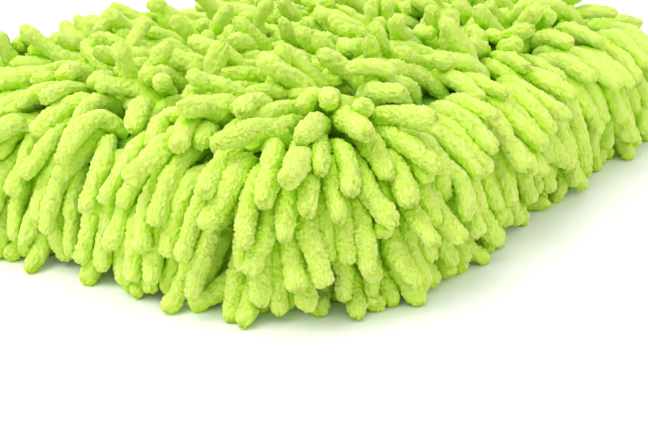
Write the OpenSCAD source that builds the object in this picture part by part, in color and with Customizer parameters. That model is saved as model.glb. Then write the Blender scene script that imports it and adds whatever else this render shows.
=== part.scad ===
// Wash mitt for cars: a flat pocket of knitted fabric, tufted on both faces and round
// its edge with chenille noodles, with a foam layer, a lining and a ribbed knit cuff.
// It lies on its palm side. X is its width, +Y points to the fingertips, Z is up, and
// the origin is under the middle of its outer size, on the surface that it lies on.

/* [Pocket] */
// Width of the knitted pocket, without noodles
pocket_w = 180; // [164:1:204]
// Length of the knitted pocket, without noodles or cuff
pocket_l = 228; // [208:1:228]
// Radius of the pocket's corners, seen from above
corner_r = 40; // [34:1:46]
// Thickness of the pocket, from palm fabric to back fabric
pocket_t = 24; // [23:0.5:28]
// Thickness of the knitted face fabric
fabric_t = 1.1; // [0.8:0.1:1.3]
// Thickness of the foam layer
foam_t = 3.2; // [2:0.1:3.4]
// Thickness of the lining
lining_t = 0.6; // [0.4:0.1:0.8]

/* [Noodles] */
// Diameter of a noodle
noodle_d = 6.6; // [6:0.1:6.6]
// Length of a noodle
noodle_l = 26; // [22:0.5:26]
// Spacing of the noodles along a row
noodle_pitch = 9.6; // [9.6:0.1:12]
// Spacing of the rows
row_pitch = 10.5; // [10.5:0.1:12]
// Angle between a face noodle and the fabric
noodle_lean = 28; // [28:1:34]

/* [Cuff] */
// Length of the cuff
cuff_l = 44; // [44:1:50]
// Thickness of one layer of the rib knit
knit_t = 1.3; // [1:0.1:1.4]
// Width of the elastic band in the hem
elastic_w = 10; // [6:1:12]

/* [Loop and label] */
// Length of the hanging loop
loop_l = 38; // [34:1:40]
// Width of the loop's webbing
loop_w = 10; // [8:1:12]
// Thickness of the loop's webbing
webbing_t = 1.2; // [0.8:0.1:1.4]
// Width of the care label
label_w = 22; // [16:1:26]
// Length of the care label
label_l = 25; // [18:1:25]

/* [Hidden] */
arc_fn = 64;
tube_fn = 32;
skin_gap = 0.1;
edge_r = pocket_t / 2;
noodle_r = noodle_d / 2;
axis_l = noodle_l - noodle_d;
root_r = edge_r + skin_gap + noodle_r;
// The centre line of the rounded edge: its straight runs end at these corners.
line_x = pocket_w / 2 - edge_r;
line_y = pocket_l / 2 - edge_r;
turn_r = corner_r - edge_r;
turn_x = line_x - turn_r;
turn_y = line_y - turn_r;
// Edge noodles: how far round the edge each tier is rooted, and how far it hangs down.
tier_root = [68, 38, 8, -22, -52];
tier_drop = [-5, 20, 45, 45, 39];
// Turn between neighbours of a tier at a corner, and where the turn stops next to the cuff.
corner_step = 15;
heel_turn = 60;
heel_y = turn_y + turn_r * sin(heel_turn);
root_margin = 6.9;
// How far a face noodle's tip may stand past the edge's centre line.
overhang = 10.5;
rows = floor(2 * (line_y - root_margin) / row_pitch) + 1;
row_y0 = -(rows - 1) / 2 * row_pitch;
mid_z = root_r + axis_l * sin(noodle_lean) + noodle_r;
tip_reach = max([for (i = [0 : len(tier_root) - 1]) tier_reach(i)]);
cuff_y = -line_y - skin_gap;
mid_y = (cuff_l - cuff_y - line_y - tip_reach) / 2;
foam_r = edge_r - fabric_t - skin_gap;
lining_r = foam_r - foam_t - skin_gap;
cavity_r = lining_r - lining_t;
pocket_gap = 1.4;
hem_cap = 2;
cuff_in = edge_r - 2 * knit_t - pocket_gap;
thread_r = 0.35;
thread_z = edge_r + thread_r + skin_gap;
stitch_inset = 1.1;
hem_stitch = 14;
binding_t = 1;
binding_gap = 0.7;
binding_w = 5;
// Loop: a webbing ring lying on the cuff, held by a bar of thread.
loop_x = -26;
loop_h = 7.5;
loop_lift = 1.1;
label_lift = 0.4;
tack_r = 0.9;
loop_axis_y = cuff_y - 6;
loop_axis_z = edge_r + loop_lift + loop_h / 2;
label_x = 24;
label_t = 0.7;
label_y = cuff_y - 3.4;

function tier_reach(i) = root_r * cos(tier_root[i]) + axis_l * cos(tier_drop[i]) + noodle_r;
function row_name(face, i) = str(face, "_noodles_row_", i < 9 ? "0" : "", i + 1);
function tier_name(i) = str("edge_noodles_tier_", i + 1);

// True inside a rounded rectangle with the pocket's corner centres.
function inside(x, y, half_w, half_l) =
    let (dx = abs(x) - (half_w - turn_r), dy = abs(y) - (half_l - turn_r))
    abs(x) <= half_w && abs(y) <= half_l && (dx < 0 || dy < 0 || norm([dx, dy]) <= turn_r);

// One noodle, from its root up Z.
module noodle() {
    translate([0, 0, -noodle_r])
        rotate_extrude($fn = tube_fn)
            intersection() {
                union() {
                    translate([0, noodle_r]) circle(noodle_r);
                    translate([0, noodle_l - noodle_r]) circle(noodle_r);
                    translate([-noodle_r, noodle_r]) square([noodle_d, axis_l]);
                }
                square([noodle_d, noodle_l]);
            }
}

// Outline that runs a given distance outside the edge's centre line, seen from above.
module outline(grow = 0) {
    union() {
        square([2 * (line_x + grow), 2 * turn_y], center = true);
        square([2 * turn_x, 2 * (line_y + grow)], center = true);
        for (x = [-turn_x, turn_x])
            for (y = [-turn_y, turn_y])
                translate([x, y]) circle(turn_r + grow, $fn = arc_fn);
    }
}

// A quarter ring, from the outer edge up to the face.
module edge_profile(outer, inner) {
    intersection() {
        difference() {
            circle(outer, $fn = arc_fn);
            circle(inner, $fn = arc_fn);
        }
        square(outer);
    }
}

// Rounded cross-section of the cuff, in the XZ plane, as deep as asked towards the hem.
module cuff_bar(r, depth) {
    rotate([90, 0, 0])
        linear_extrude(depth)
            union() {
                square([2 * turn_x, 2 * r], center = true);
                for (x = [-turn_x, turn_x])
                    translate([x, 0]) circle(r, $fn = arc_fn);
            }
}

// Half of one layer of the pocket, above its middle plane, open where the cuff joins it.
module half_layer(outer, inner) {
    difference() {
        union() {
            translate([0, 0, inner])
                linear_extrude(outer - inner) outline();
            for (side = [0, 1])
                mirror([side, 0, 0])
                    translate([line_x, turn_y, 0])
                        rotate([90, 0, 0])
                            linear_extrude(2 * turn_y) edge_profile(outer, inner);
            translate([-turn_x, line_y, 0])
                rotate([90, 0, 90])
                    linear_extrude(2 * turn_x) edge_profile(outer, inner);
            for (x = [0, 1])
                for (y = [0, 1])
                    mirror([x, 0, 0])
                        mirror([0, y, 0])
                            translate([turn_x, turn_y, 0])
                                rotate_extrude(angle = 90, $fn = arc_fn)
                                    translate([turn_r, 0]) edge_profile(outer, inner);
        }
        translate([0, -line_y, 0]) cuff_bar(edge_r + skin_gap, pocket_l);
    }
}

// A band that runs round the edge at the middle plane and stops short of the cuff.
module edge_band(reach, t, w) {
    translate([0, 0, -w / 2])
        linear_extrude(w)
            difference() {
                outline(reach + t);
                outline(reach);
                translate([-pocket_w, -heel_y - pocket_l]) square([2 * pocket_w, pocket_l]);
            }
}

// The straight runs of a thread along the cuff, on both of its faces.
module thread_runs(y, run) {
    for (z = [-thread_z, thread_z])
        translate([-run / 2, y, z])
            rotate([0, 90, 0]) cylinder(run, r = thread_r, $fn = tube_fn);
}

module placed() {
    translate([0, mid_y, mid_z]) children();
}

module back_fabric() {
    color("yellowgreen") placed() half_layer(edge_r, edge_r - fabric_t);
}

module palm_fabric() {
    color("yellowgreen") placed() mirror([0, 0, 1]) half_layer(edge_r, edge_r - fabric_t);
}

module back_foam() {
    color("whitesmoke") placed() half_layer(foam_r, foam_r - foam_t);
}

module palm_foam() {
    color("whitesmoke") placed() mirror([0, 0, 1]) half_layer(foam_r, foam_r - foam_t);
}

module back_lining() {
    color("lightgray") placed() half_layer(lining_r, cavity_r);
}

module palm_lining() {
    color("lightgray") placed() mirror([0, 0, 1]) half_layer(lining_r, cavity_r);
}

module seam_binding() {
    color("gainsboro") placed()
        edge_band(cavity_r - binding_gap - binding_t, binding_t, binding_w);
}

module side_seam_thread() {
    color("olivedrab") placed()
        edge_band(edge_r + skin_gap, 2 * thread_r, 2 * thread_r);
}

// The rib knit is folded at the hem, which leaves a pocket between its two layers.
module cuff() {
    color("greenyellow") placed()
        translate([0, cuff_y, 0])
            difference() {
                cuff_bar(edge_r, cuff_l);
                translate([0, 1, 0]) cuff_bar(cuff_in, cuff_l + 2);
                translate([0, 1, 0])
                    difference() {
                        cuff_bar(edge_r - knit_t, cuff_l - hem_cap + 1);
                        cuff_bar(cuff_in + knit_t, cuff_l - hem_cap + 1);
                    }
            }
}

module cuff_elastic() {
    slack = 0.2;
    color("white") placed()
        translate([0, cuff_y - cuff_l + hem_cap + slack + elastic_w, 0])
            difference() {
                cuff_bar(edge_r - knit_t - slack, elastic_w);
                translate([0, 1, 0]) cuff_bar(cuff_in + knit_t + slack, elastic_w + 2);
            }
}

// The hem thread holds the elastic in its pocket, all the way round.
module cuff_hem_thread() {
    hem_y = cuff_y - cuff_l + hem_stitch;
    color("olivedrab") placed()
        union() {
            thread_runs(hem_y, 2 * turn_x);
            for (side = [0, 1])
                mirror([side, 0, 0])
                    translate([turn_x, hem_y, 0])
                        rotate([90, 0, 0])
                            rotate([0, 0, -90])
                                rotate_extrude(angle = 180, $fn = arc_fn)
                                    translate([thread_z, 0]) circle(thread_r, $fn = tube_fn);
        }
}

module cuff_join_thread() {
    color("olivedrab") placed() thread_runs(cuff_y - stitch_inset, 2 * (turn_x - stitch_inset));
}

module hanging_loop() {
    color("olivedrab") placed()
        translate([loop_x - loop_w / 2, loop_axis_y, loop_axis_z])
            rotate([90, 0, 90])
                linear_extrude(loop_w)
                    difference() {
                        union() {
                            circle(loop_h / 2, $fn = arc_fn);
                            translate([loop_h - loop_l, 0]) circle(loop_h / 2, $fn = arc_fn);
                            translate([loop_h - loop_l, -loop_h / 2]) square([loop_l - loop_h, loop_h]);
                        }
                        union() {
                            hole_r = loop_h / 2 - webbing_t;
                            circle(hole_r, $fn = arc_fn);
                            translate([loop_h - loop_l, 0]) circle(hole_r, $fn = arc_fn);
                            translate([loop_h - loop_l, -hole_r]) square([loop_l - loop_h, 2 * hole_r]);
                        }
                    }
}

// A bar of thread through the loop's fold, with a leg down to the cuff on each side.
module loop_tack() {
    leg_x = loop_w / 2 + tack_r + 0.5;
    leg_r = 0.8 * tack_r;
    bar_l = 2 * (leg_x + tack_r);
    color("darkolivegreen") placed()
        translate([loop_x, loop_axis_y, 0])
            union() {
                translate([-bar_l / 2, 0, loop_axis_z])
                    rotate([0, 90, 0]) cylinder(bar_l, r = tack_r, $fn = tube_fn);
                for (x = [-leg_x, leg_x])
                    translate([x, 0, edge_r])
                        cylinder(loop_axis_z - edge_r, r = leg_r, $fn = tube_fn);
            }
}

module care_label() {
    color("white") placed()
        translate([label_x - label_w / 2, label_y - label_l, edge_r + label_lift])
            cube([label_w, label_l, label_t]);
}

// A row of thread that holds the label's edge down, just behind it.
module label_tack() {
    color("olivedrab") placed()
        translate([label_x - label_w / 2, label_y + 1, edge_r + thread_r])
            rotate([0, 90, 0]) cylinder(label_w, r = thread_r, $fn = tube_fn);
}

// A row of face noodles, rooted on the pocket's back, all leaning towards the fingertips.
module face_row(i) {
    y = row_y0 + i * row_pitch;
    count = floor(2 * line_x / noodle_pitch) + (i % 2 == 0 ? 1 : 0);
    tip_y = y + axis_l * cos(noodle_lean);
    for (k = [0 : count - 1]) {
        x = (k - (count - 1) / 2) * noodle_pitch;
        if (inside(x, y, line_x, line_y - root_margin)
            && inside(x, tip_y, line_x + overhang, line_y + overhang))
            translate([x, y, root_r])
                rotate([noodle_lean - 90, 0, 0]) noodle();
    }
}

module back_row(i) {
    color(i % 2 == 0 ? "greenyellow" : "yellowgreen") placed() face_row(i);
}

module palm_row(i) {
    color(i % 2 == 0 ? "greenyellow" : "yellowgreen") placed() mirror([0, 0, 1]) face_row(i);
}

// One noodle on the edge, at a point of the centre line that faces outwards at an angle.
module edge_noodle(x, y, facing, tier) {
    translate([x, y, 0])
        rotate([0, 0, facing])
            translate([root_r * cos(tier_root[tier]), 0, root_r * sin(tier_root[tier])])
                rotate([0, 90 + tier_drop[tier], 0]) noodle();
}

// Neighbouring tiers are staggered by half a noodle, which shifts their shares of a run.
function shift(tier) = tier % 2 == 0 ? 0.25 : 0.75;
function shares(count, first) = [for (k = [0 : count - 1]) (k + first) / count];

// A tier runs up one side of the pocket, round the fingertips and down the other side.
module edge_tier(tier) {
    side_count = floor(2 * turn_y / noodle_pitch);
    tip_count = floor(2 * turn_x / noodle_pitch) - tier % 2;
    tip_step = 2 * turn_x / floor(2 * turn_x / noodle_pitch);
    color(tier % 2 == 0 ? "greenyellow" : "yellowgreen") placed() {
        for (side = [0, 1])
            mirror([side, 0, 0]) {
                for (share = shares(heel_turn / corner_step, 1 - shift(tier)))
                    corner_noodle(-1, -heel_turn * share, tier);
                for (share = shares(side_count, shift(tier)))
                    edge_noodle(line_x, turn_y * (2 * share - 1), 0, tier);
                for (share = shares(90 / corner_step, shift(tier)))
                    corner_noodle(1, 90 * share, tier);
            }
        for (k = [0 : tip_count - 1])
            edge_noodle((k - (tip_count - 1) / 2) * tip_step, line_y, 90, tier);
    }
}

module corner_noodle(end, facing, tier) {
    edge_noodle(turn_x + turn_r * cos(facing), end * turn_y + turn_r * sin(facing), facing, tier);
}

back_fabric();
palm_fabric();
back_foam();
palm_foam();
back_lining();
palm_lining();
seam_binding();
side_seam_thread();
cuff();
cuff_elastic();
cuff_hem_thread();
cuff_join_thread();
hanging_loop();
loop_tack();
care_label();
label_tack();
for (i = [0 : rows - 1]) {
    back_row(i);
    palm_row(i);
}
for (i = [0 : len(tier_root) - 1])
    edge_tier(i);
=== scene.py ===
# Wash mitt: settled chenille noodles, pocket layers, ribbed cuff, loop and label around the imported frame.
import bpy
import math
import numpy as np
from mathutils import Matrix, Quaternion, Vector


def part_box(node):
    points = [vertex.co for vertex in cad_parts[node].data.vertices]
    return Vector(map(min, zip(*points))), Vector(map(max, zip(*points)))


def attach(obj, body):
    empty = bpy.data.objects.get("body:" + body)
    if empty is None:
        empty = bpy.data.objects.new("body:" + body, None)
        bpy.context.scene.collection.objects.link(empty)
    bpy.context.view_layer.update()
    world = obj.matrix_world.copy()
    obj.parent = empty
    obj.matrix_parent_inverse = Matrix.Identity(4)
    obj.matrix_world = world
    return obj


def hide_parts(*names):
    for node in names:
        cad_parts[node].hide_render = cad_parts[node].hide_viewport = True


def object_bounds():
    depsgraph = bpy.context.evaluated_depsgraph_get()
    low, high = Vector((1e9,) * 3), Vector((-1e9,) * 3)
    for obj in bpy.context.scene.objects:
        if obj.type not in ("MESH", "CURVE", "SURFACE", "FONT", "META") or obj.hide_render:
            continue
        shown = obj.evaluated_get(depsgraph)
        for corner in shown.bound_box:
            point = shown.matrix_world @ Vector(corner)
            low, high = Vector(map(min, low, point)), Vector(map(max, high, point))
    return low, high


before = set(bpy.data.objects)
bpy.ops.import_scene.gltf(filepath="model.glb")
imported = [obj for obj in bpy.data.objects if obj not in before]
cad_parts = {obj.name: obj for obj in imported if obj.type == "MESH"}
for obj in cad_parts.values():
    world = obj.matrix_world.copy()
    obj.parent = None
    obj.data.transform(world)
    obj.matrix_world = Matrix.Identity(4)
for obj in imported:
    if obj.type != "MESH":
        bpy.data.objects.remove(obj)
cad_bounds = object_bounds()

MM = 0.001
SEED = 41

# Places, all worked out from the frame. The pocket has a flat core with round corners, and its faces
# lie EDGE_R away from that core.
back_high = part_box("back_fabric")[1]
palm_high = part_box("palm_fabric")[1]
foam_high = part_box("back_foam")[1]
lining_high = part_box("back_lining")[1]
cuff_low, cuff_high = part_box("cuff")
EDGE_R = back_high.z - palm_high.z
LINE_X = back_high.x - EDGE_R
TURN_X = cuff_high.x - EDGE_R
TURN_R = LINE_X - TURN_X
CUFF_Y = cuff_high.y
HEM_Y = cuff_low.y
TIP_LINE_Y = back_high.y - EDGE_R
LINE_Y = (TIP_LINE_Y - CUFF_Y) / 2
TURN_Y = LINE_Y - TURN_R
MID = np.array([0.0, (TIP_LINE_Y + CUFF_Y) / 2, palm_high.z])
FLOOR_Z = 0.0

# Noodles: size, spacing, and the shares of them that get a neighbour which CAD has no room for
NOODLE_R = 2.78 * MM
NOODLE_L = 27.5 * MM
LENGTH_SPREAD = 2.6 * MM
PITCH = 9.6 * MM
FILL_SHARE = 0.35
FAN_SHARE = 0.55
HEEL_ROOM = 17 * MM
PILE_TOP = cad_bounds[1].z + 6 * MM

# How noodles settle: balls in a chain, steps, and how they sag, bend, stand, push and aim
KNOTS = 7
SIM_STEPS = 150
SIM_PASSES = 4
PAIR_STEPS = 4
PAIR_ROOM = 2.5 * MM
SQUEEZE = 0.90
THIN = 0.3
GRAVITY = 0.38 * MM
DRAG = 0.86
TOP_SPEED = 1.2 * MM
STIFFNESS = 0.055
STAND = 0.16
TILT = (0.10, 0.60)
HANG = 0.55
SPROUT_PULL = 0.22
PUSH_SHARE = 0.4
CROWD_DAMPING = 0.35
AIM_SPREAD = 0.75
CURL = 0.07

# Pile: the size of its lumps, tufts and fibres, each with its height in millimetres, and its grain's height
LUMP = (3.6 * MM, 0.42)
TUFT = (1.4 * MM, 0.16)
FIBRE = (0.52 * MM, 0.42)
GRAIN = 0.26
CAP_RINGS = 8
UV_MARGIN = 0.04

# Distances from the camera at which a noodle's mesh gets coarser, and its points around and along:
# near, in the middle, far, and on the palm
NEAR = 0.270
MIDDLE = 0.36
RESOLUTION = ((64, 84), (42, 54), (28, 36), (20, 26))

# Cloth and thread, as thick as their CAD pieces where the frame doesn't give it
SKIN_GAP = 0.1 * MM
LINING_T = 0.6 * MM
BINDING_T = 1.0 * MM
THREAD_R = 0.35 * MM
KNIT_T = 1.3 * MM
CUFF_SLOT = 1.4 * MM
ELASTIC_T = 1.0 * MM
WEBBING_T = 1.2 * MM
TACK_R = 0.9 * MM
TACK_THREAD_R = 0.33 * MM
TACK_PITCH = 0.62 * MM
LABEL_T = 0.35 * MM

# How cloth differs from its plain CAD shape
RELIEF = 0.15 * MM
RIBS = 86
RIB_POINTS = 6
RIB_H = 0.75 * MM
KNIT_ROW = 1.9 * MM
DROOP = 2.2 * MM
MOUTH_WAVE = 0.8 * MM
ZIGZAG_STEPS = 114
ZIGZAG_H = 1.1 * MM
STITCH_L = 3.1 * MM
LABEL_STITCHES = 8
LINE_POINTS = 190

# Greens of the pile: fibre tips; painted shade low in the pile, which also darkens random blotches; painted
# shade at the roots; and a warmer dye of some noodles
LIME_PALE = (0.77, 0.86, 0.29)
LIME_SHADE_AND_BLOTCH = (0.60, 0.92, 0.009)
LIME_ROOT_SHADE = (0.34, 0.80, 0.004)
LIME_WARM = (0.80, 0.85, 0.18)
PILE_SHEEN = (0.85, 1.0, 0.55)


# ---------------------------------------------------------------- noise and small maths

def hashed(ix, iy, iz, seed):
    """A repeatable number from 0 to 1 for each lattice point."""
    h = ix.astype(np.uint32) * np.uint32(374761393)
    h += iy.astype(np.uint32) * np.uint32(668265263)
    h += iz.astype(np.uint32) * np.uint32(2246822519)
    h += np.uint32(seed * 3266489917 % 4294967296)
    h = (h ^ (h >> np.uint32(13))) * np.uint32(1274126177)
    h ^= h >> np.uint32(16)
    return (h & np.uint32(0xFFFFFF)).astype(np.float32) / 16777215.0


def noise(points, size, seed=0):
    """Smooth noise from -1 to 1 with lumps of a given size."""
    q = points / size
    cell = np.floor(q).astype(np.int64)
    f = (q - cell).astype(np.float32)
    f = f * f * (3 - 2 * f)
    total = 0
    for dx in (0, 1):
        wx = f[:, 0] if dx else 1 - f[:, 0]
        for dy in (0, 1):
            wy = f[:, 1] if dy else 1 - f[:, 1]
            for dz in (0, 1):
                wz = f[:, 2] if dz else 1 - f[:, 2]
                total = total + wx * wy * wz * hashed(cell[:, 0] + dx, cell[:, 1] + dy, cell[:, 2] + dz, seed)
    return 2 * total - 1


def unit(v):
    return v / np.maximum(np.linalg.norm(v, axis=-1, keepdims=True), 1e-12)


def smooth(t):
    t = np.clip(t, 0, 1)
    return t * t * (3 - 2 * t)


# ---------------------------------------------------------------- the pocket as a distance

def core_offset(p):
    """From the pocket's flat core to each point: the vector out, and its length."""
    q = p - MID
    corner = np.stack([np.clip(q[:, 0], -TURN_X, TURN_X), np.clip(q[:, 1], -TURN_Y, TURN_Y)], 1)
    flat = q[:, :2] - corner
    reach = np.linalg.norm(flat, axis=1)
    out = np.maximum(reach - TURN_R, 0) / np.maximum(reach, 1e-9)
    v = np.column_stack([flat * out[:, None], q[:, 2]])
    return v, np.linalg.norm(v, axis=1)


# ---------------------------------------------------------------- noodles read from the frame

def solids_of(node):
    """The points of each separate solid in a CAD node."""
    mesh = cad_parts[node].data
    co = np.empty(len(mesh.vertices) * 3)
    mesh.vertices.foreach_get("co", co)
    co = co.reshape(-1, 3)
    _, same = np.unique(np.round(co * 1e6).astype(np.int64), axis=0, return_inverse=True)
    same = same.ravel()
    edges = np.empty(len(mesh.edges) * 2, np.int64)
    mesh.edges.foreach_get("vertices", edges)
    a, b = same[edges.reshape(-1, 2)].T
    label = np.arange(same.max() + 1)
    while True:
        low = np.minimum(label[a], label[b])
        new = label.copy()
        np.minimum.at(new, a, low)
        np.minimum.at(new, b, low)
        new = new[new]
        if (new == label).all():
            break
        label = new
    label = label[same]
    return [co[label == k] for k in np.unique(label)]


def read_noodles():
    """Root point, outward normal and lean of every CAD noodle, with the node it belongs to."""
    roots, normals, leans, owners = [], [], [], []
    for name in sorted(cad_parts):
        if "noodles" not in name:
            continue
        for points in solids_of(name):
            centre = points.mean(0)
            _, vectors = np.linalg.eigh(np.cov((points - centre).T))
            axis = vectors[:, 2]
            t = (points - centre) @ axis
            ends = np.array([centre + axis * t.min(), centre + axis * t.max()])
            _, away = core_offset(ends)
            root, tip = ends[np.argsort(away)]
            lean = unit(tip - root)
            out, away = core_offset((root + lean * NOODLE_R)[None])
            normal = out[0] / away[0]
            roots.append(root + lean * NOODLE_R - normal * (away[0] - EDGE_R))
            normals.append(normal)
            leans.append(lean)
            owners.append(name)
    return np.array(roots), np.array(normals), np.array(leans), np.array(owners)


def surface_point(p):
    """The nearest point of the pocket's face to each point, and the outward direction there."""
    out, away = core_offset(p)
    normal = out / away[:, None]
    return p - normal * (away - EDGE_R)[:, None], normal


def add_between(roots, normals, leans, owners, rng):
    """Fills the rows: more noodles beside some of them, in the fans of the corners and at the heel."""
    edge = np.char.startswith(owners, "edge")
    palm = np.char.startswith(owners, "palm")
    q = roots - MID
    fan = edge & (np.abs(q[:, 0]) > TURN_X) & (q[:, 1] > TURN_Y)
    side = unit(np.cross(normals, leans))
    luck = rng.uniform(0, 1, len(roots))
    sets = [(roots, normals, leans, owners)]
    low = edge & (normals[:, 2] < 0)
    beside = (~palm & ~low & (luck < FILL_SHARE)) | fan
    behind = fan & ~low & (luck < FAN_SHARE)
    heel = ~palm & (q[:, 1] < HEEL_ROOM - LINE_Y)
    lean = unit(leans)
    back = np.array([0, -1, 0]) + 0 * lean
    # Which noodles get a neighbour, and how far away in pitches
    shifts = (
        (beside, 0.50 * side + 0.42 * lean),
        (behind, -0.25 * side - 0.30 * lean),
        (heel, 0.60 * back),
        (heel & edge, 0.30 * back + 0.50 * side),
    )
    for chosen, shift in shifts:
        at, normal = surface_point(roots[chosen] + shift[chosen] * PITCH)
        clear = at[:, 1] > MID[1] - LINE_Y + 2 * MM
        sets.append((at[clear], normal[clear], leans[chosen][clear], owners[chosen][clear]))
    return tuple(np.concatenate(columns) for columns in zip(*sets))


# ---------------------------------------------------------------- settling the noodles

def near_pairs(p, cutoff):
    """Index pairs of points closer than the cutoff, through a grid of cells."""
    cell = np.floor(p / cutoff).astype(np.int64)
    cell -= cell.min(0) - 1
    size = cell.max(0) + 2
    key = (cell[:, 0] * size[1] + cell[:, 1]) * size[2] + cell[:, 2]
    order = np.argsort(key, kind="stable")
    ranked = key[order]
    found_a, found_b = [], []
    for dx in (-1, 0, 1):
        for dy in (-1, 0, 1):
            for dz in (-1, 0, 1):
                shift = (dx * size[1] + dy) * size[2] + dz
                start = np.searchsorted(ranked, key + shift, "left")
                count = np.searchsorted(ranked, key + shift, "right") - start
                a = np.repeat(np.arange(len(p)), count)
                first = np.repeat(start - np.concatenate([[0], np.cumsum(count)[:-1]]), count)
                b = order[first + np.arange(len(a))]
                keep = a < b
                found_a.append(a[keep])
                found_b.append(b[keep])
    a, b = np.concatenate(found_a), np.concatenate(found_b)
    keep = ((p[a] - p[b]) ** 2).sum(1) < cutoff * cutoff
    return a[keep], b[keep]


def push_apart(x, pairs, radius):
    """Moves balls of different noodles off each other, by most of their overlap."""
    flat = x.reshape(-1, 3)
    a, b = pairs
    d = flat[a] - flat[b]
    dist = np.linalg.norm(d, axis=1)
    deep = np.maximum(2 * radius * SQUEEZE - dist, 0)
    hit = deep > 0
    move = d[hit] / np.maximum(dist[hit], 1e-9)[:, None] * (deep[hit] * PUSH_SHARE)[:, None]
    total = np.zeros_like(flat)
    count = np.ones(len(flat))
    np.add.at(total, a[hit], move)
    np.add.at(total, b[hit], -move)
    np.add.at(count, a[hit], CROWD_DAMPING)
    np.add.at(count, b[hit], CROWD_DAMPING)
    return (flat + total / count[:, None]).reshape(x.shape)


def push_off_pocket(x, radius):
    """Moves balls off the pocket and off the floor, and keeps them under the top of the pile."""
    out, away = core_offset(x.reshape(-1, 3))
    deep = np.maximum(EDGE_R + radius * 0.85 - away, 0)
    push = (out / np.maximum(away, 1e-9)[:, None] * deep[:, None]).reshape(x.shape)
    # The root stays where it is sewn, and the ball next to it may sink into the cloth.
    push[:, 0] = 0
    push[:, 1] *= 0.2
    x = x + push
    x[:, 1:, 2] = np.clip(x[:, 1:, 2], FLOOR_Z + radius * 0.96, PILE_TOP)
    return x


def keep_length(x, gap):
    """Pulls neighbours in a chain back to their distance."""
    for k in range(KNOTS - 1):
        d = x[:, k + 1] - x[:, k]
        dist = np.linalg.norm(d, axis=1)
        fix = d * ((dist - gap) / np.maximum(dist, 1e-9))[:, None]
        if k == 0:
            x[:, 1] -= fix
        else:
            x[:, k] += fix * 0.5
            x[:, k + 1] -= fix * 0.5
    return x


def hang(normals, leans):
    """Noodles over the edge point down, and those under it point back below the pocket."""
    edge = (np.abs(normals[:, 2]) < 0.97)[:, None]
    under = np.clip(1 + 1.9 * np.minimum(normals[:, 2:], 0), -0.5, 1)
    bent = leans * np.concatenate([under, under, np.ones_like(under)], 1) - [0, 0, HANG]
    return unit(np.where(edge, bent, leans))


def settle(roots, normals, leans, radius, rng):
    """Lets every noodle fall and pack: a chain of balls that keeps its length, bends stiffly,
    and is pushed off its neighbours, the pocket and the floor."""
    n = len(roots)
    length = NOODLE_L + rng.uniform(-1, 1, n) * LENGTH_SPREAD
    gap = (length - radius) / (KNOTS - 1)
    side = unit(np.cross(normals, leans) + rng.normal(0, 0.05, (n, 3)))
    turn = rng.normal(0, AIM_SPREAD, n)[:, None]
    # Noodles on the flat faces stand up more, and sag less, than those over the edge.
    stand = STAND * smooth((np.abs(normals[:, 2:]) - 0.85) / 0.12)
    tilt = rng.uniform(*TILT, n)[:, None] + 0.3 * stand
    lean = unit(hang(normals, leans) * np.cos(turn) + side * np.sin(turn))
    start = unit(lean * (1 - tilt) + normals * tilt)
    x = roots[:, None] + start[:, None] * (np.arange(KNOTS)[None, :, None] * gap[:, None, None])
    sprout = unit((0.50 + 0.45 * stand) * normals + 0.60 * lean)
    stiff = (STIFFNESS * (1 + stand))[:, None]
    curl = rng.normal(0, 1, (n, 3))
    curl = (curl - (curl * start).sum(1, keepdims=True) * start) * CURL * gap[:, None]
    v = np.zeros_like(x)
    owner = np.repeat(np.arange(n), KNOTS)
    free = np.ones((1, KNOTS, 1))
    free[:, 0] = 0
    fall = np.array([0, 0, -GRAVITY]) * (1 - stand[:, None])
    pairs = None
    for step in range(SIM_STEPS):
        # Over the last steps they sag less, and so come to rest.
        calm = 1 if step < SIM_STEPS * 0.85 else 0.3
        v = v * DRAG + fall * free * calm
        old = x.copy()
        x = x + v
        # The noodles fall while they are thin, and then swell to their thickness.
        swollen = radius * (THIN + (1 - THIN) * smooth((step / SIM_STEPS - 0.25) / 0.5))
        if step % PAIR_STEPS == 0:
            a, b = near_pairs(x.reshape(-1, 3), 2 * radius + PAIR_ROOM)
            keep = owner[a] != owner[b]
            pairs = a[keep], b[keep]
        for _ in range(SIM_PASSES):
            x[:, 1] += (x[:, 0] + sprout * gap[:, None] - x[:, 1]) * SPROUT_PULL
            bend = x[:, :-2] - 2 * x[:, 1:-1] + x[:, 2:] - curl[:, None]
            x[:, 2:] -= bend * stiff
            x[:, 1:-1] += bend * stiff
            x[:, 0] = roots
            x = push_apart(x, pairs, swollen)
            x = push_off_pocket(x, radius)
            x = keep_length(x, gap)
            x[:, 0] = roots
        v = x - old
        speed = np.linalg.norm(v, axis=2, keepdims=True)
        v *= np.minimum(1, TOP_SPEED / np.maximum(speed, 1e-9))
    return x, length


# ---------------------------------------------------------------- mesh building

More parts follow.
